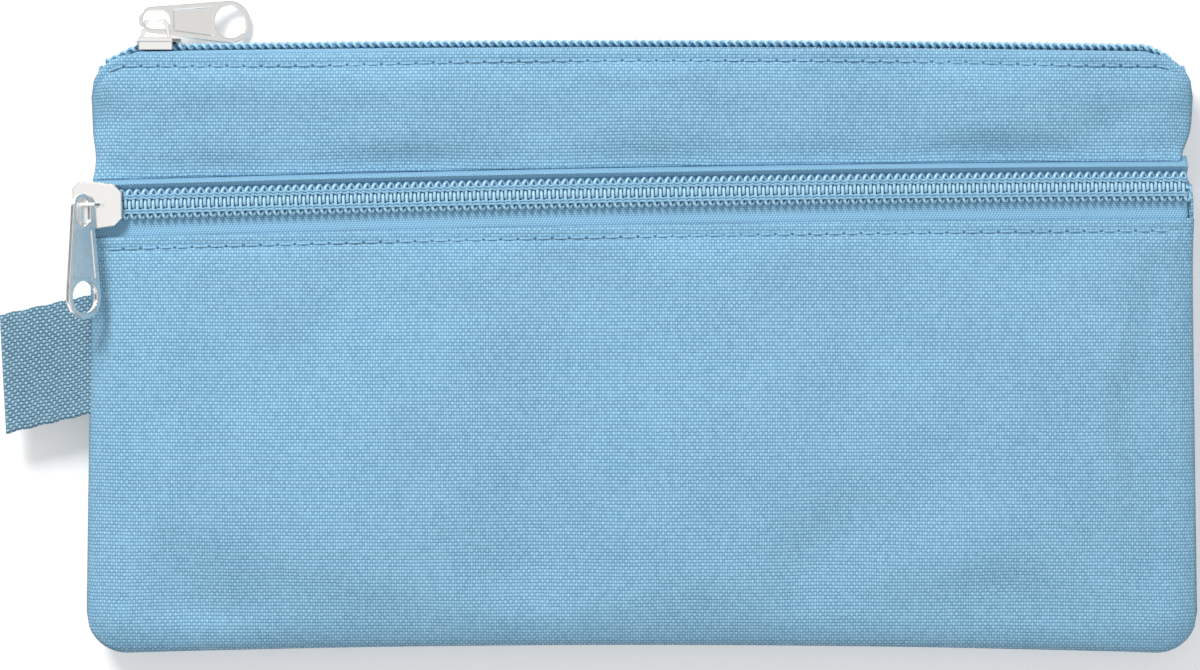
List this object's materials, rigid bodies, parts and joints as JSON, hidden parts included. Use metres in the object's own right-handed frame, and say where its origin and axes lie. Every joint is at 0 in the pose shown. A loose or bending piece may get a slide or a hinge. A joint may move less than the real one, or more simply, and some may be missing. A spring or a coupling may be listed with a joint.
{
  "type": "pencil case",
  "caption": "Flat zipped pencil case of coarse woven cloth with a zipped front pocket, coil zips with metal sliders and pullers, and a folded webbing side tab.",
  "frame": {"origin": "middle of the case on the flat face of the back that it rests on", "axes": "+X along the zips to the right, +Y towards the top zip, +Z out of the front"},
  "size_m": [0.2395, 0.1302, 0.0209],
  "materials": {
    "cloth": "coarse plain weave, sky blue",
    "tape": "fine ribbed weave, sky blue",
    "coil": "nylon coil, sky blue",
    "thread": "polyester thread, sky blue",
    "webbing": "ribbed webbing, sky blue",
    "nickel": "polished nickel plate"
  },
  "bodies": {
    "case": {"back_panel": "cloth", "front_upper_panel": "cloth", "front_pocket_panel": "cloth", "pocket_divider": "cloth", "top_tape_front": "tape", "top_tape_back": "tape", "pocket_tape_upper": "tape", "pocket_tape_lower": "tape", "top_coil_front": "coil", "top_coil_back": "coil", "pocket_coil_upper": "coil", "pocket_coil_lower": "coil", "top_cord_front": "thread", "top_cord_back": "thread", "pocket_cord_upper": "thread", "pocket_cord_lower": "thread", "top_zip_end_left": "tape", "top_zip_end_right": "tape", "front_edge_stitching": "thread", "back_edge_stitching": "thread", "pocket_stitching": "thread"},
    "top_slider": {"top_slider_body": "nickel", "top_slider_bridge": "nickel"},
    "top_pull": {"top_puller": "nickel"},
    "pocket_slider": {"pocket_slider_body": "nickel", "pocket_slider_bridge": "nickel"},
    "pocket_pull": {"pocket_puller": "nickel"},
    "tab": {"side_tab": "webbing"}
  },
  "joints": [
    {"name": "top_zip_slide", "type": "slide", "parent": "case", "child": "top_slider", "axis": [1, 0, 0], "range_m": [0, 0.19]},
    {"name": "top_puller_swing", "type": "hinge", "parent": "top_slider", "child": "top_pull", "pos_m": [-0.0968, 0.0655, 0.008], "axis": [0, 1, 0], "range_deg": [0, 136]},
    {"name": "pocket_zip_slide", "type": "slide", "parent": "case", "child": "pocket_slider", "axis": [0.9998, 0.0175, 0], "range_m": [0, 0.208]},
    {"name": "pocket_puller_swing", "type": "hinge", "parent": "pocket_slider", "child": "pocket_pull", "pos_m": [-0.11028, 0.02838, 0.0173], "axis": [-1, 0, 0], "range_deg": [0, 90]},
    {"name": "side_tab_flex", "type": "hinge", "parent": "case", "child": "tab", "pos_m": [-0.11144, -0.0011, 0.0078], "axis": [0, -1, 0], "range_deg": [0, 70], "stiffness_Nm_per_rad": 0.01}
  ]
}
